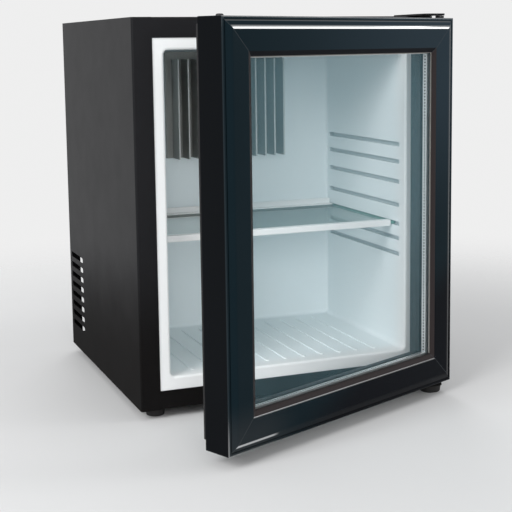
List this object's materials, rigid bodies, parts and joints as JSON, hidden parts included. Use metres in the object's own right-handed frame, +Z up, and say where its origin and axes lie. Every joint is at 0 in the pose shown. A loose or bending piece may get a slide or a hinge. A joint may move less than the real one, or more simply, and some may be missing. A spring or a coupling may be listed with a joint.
{
  "type": "minibar fridge",
  "caption": "Small black minibar fridge with a white interior, one glass shelf and a framed glass door standing ajar.",
  "frame": {"origin": "on the floor under the middle of the part's bounding box as stored, with the door ajar", "axes": "+Z up, +Y from the front to the rear of the cabinet, +X to the right as seen from the front"},
  "size_m": [0.3992, 0.5738, 0.4832],
  "materials": {
    "cabinet_black": "satin black powder coat",
    "bare_steel": "zinc-plated sheet and hardware",
    "liner_white": "semi-gloss white",
    "foam": "cream rigid foam",
    "cold_plate": "dark grey anodised",
    "unit_steel": "black lacquered tube",
    "unit_fins": "mill finish",
    "frame_black": "gloss blue-black",
    "bead_black": "matte black",
    "door_glass": "clear, faint blue-green",
    "spacer_metal": "perforated, satin",
    "sealant_black": "matte black",
    "seal_grey": "matte light grey",
    "gasket_black": "matte black",
    "magnet": "matte brown ferrite strip",
    "shelf_glass": "clear, green edge",
    "trim_white": "semi-gloss white",
    "foot_black": "matte black",
    "control_grey": "matte dark grey",
    "knob_black": "matte black",
    "capillary": "copper tube"
  },
  "bodies": {
    "cabinet": {"left_side_panel": "cabinet_black", "right_side_panel": "cabinet_black", "top_panel": "cabinet_black", "base_panel": "cabinet_black", "top_hinge_plate": "cabinet_black", "bottom_hinge_plate": "cabinet_black", "hinge_screws": "cabinet_black", "rear_bulkhead": "bare_steel", "hinge_backing_plates": "bare_steel", "vessel_brackets": "bare_steel", "boiler_brackets": "bare_steel", "condenser_brackets": "bare_steel", "coil_brackets": "bare_steel", "heater_cartridge": "bare_steel", "hinge_pins": "bare_steel", "foot_screws": "bare_steel", "clamp_screws": "bare_steel", "bracket_screws": "bare_steel", "inner_liner": "liner_white", "foam_insulation": "foam", "cold_plate": "cold_plate", "clamp_block": "cold_plate", "evaporator_tube": "unit_steel", "condenser_tube": "unit_steel", "rectifier_tube": "unit_steel", "boiler_jacket": "unit_steel", "boiler_tube": "unit_steel", "absorber_vessel": "unit_steel", "absorber_coil": "unit_steel", "gas_exchanger": "unit_steel", "solution_tube": "unit_steel", "condenser_fins": "unit_fins", "round_feet": "foot_black", "hinge_foot": "foot_black", "control_box": "control_grey", "control_lid": "control_grey", "thermostat": "control_grey", "cable_gland": "control_grey", "thermostat_capillary": "capillary"},
    "door": {"door_rail_left": "frame_black", "door_rail_right": "frame_black", "door_rail_top": "frame_black", "door_rail_bottom": "frame_black", "glazing_beads": "bead_black", "door_corner_keys": "bead_black", "outer_glass": "door_glass", "inner_glass": "door_glass", "glass_spacer": "spacer_metal", "edge_sealant": "sealant_black", "glazing_seal": "seal_grey", "door_gasket": "gasket_black", "gasket_magnets": "magnet", "hinge_bushes": "bead_black", "hinge_hole_plugs": "bead_black"},
    "shelf": {"shelf_glass": "shelf_glass", "shelf_front_trim": "trim_white", "shelf_rear_trim": "trim_white"},
    "knob": {"thermostat_knob": "knob_black", "thermostat_shaft": "bare_steel"}
  },
  "joints": [
    {"name": "door_hinge", "type": "hinge", "parent": "cabinet", "child": "door", "pos_m": [0.1875, -0.11939, 0.247], "axis": [0, 0, 1], "range_deg": [-23.8, 96.2]},
    {"name": "shelf_slide", "type": "slide", "parent": "cabinet", "child": "shelf", "axis": [0, -1, 0], "range_m": [0, 0.009]},
    {"name": "knob_turn", "type": "hinge", "parent": "cabinet", "child": "knob", "pos_m": [0.1555, 0.25211, 0.271], "axis": [0, 1, 0], "range_deg": [-135, 135]}
  ]
}
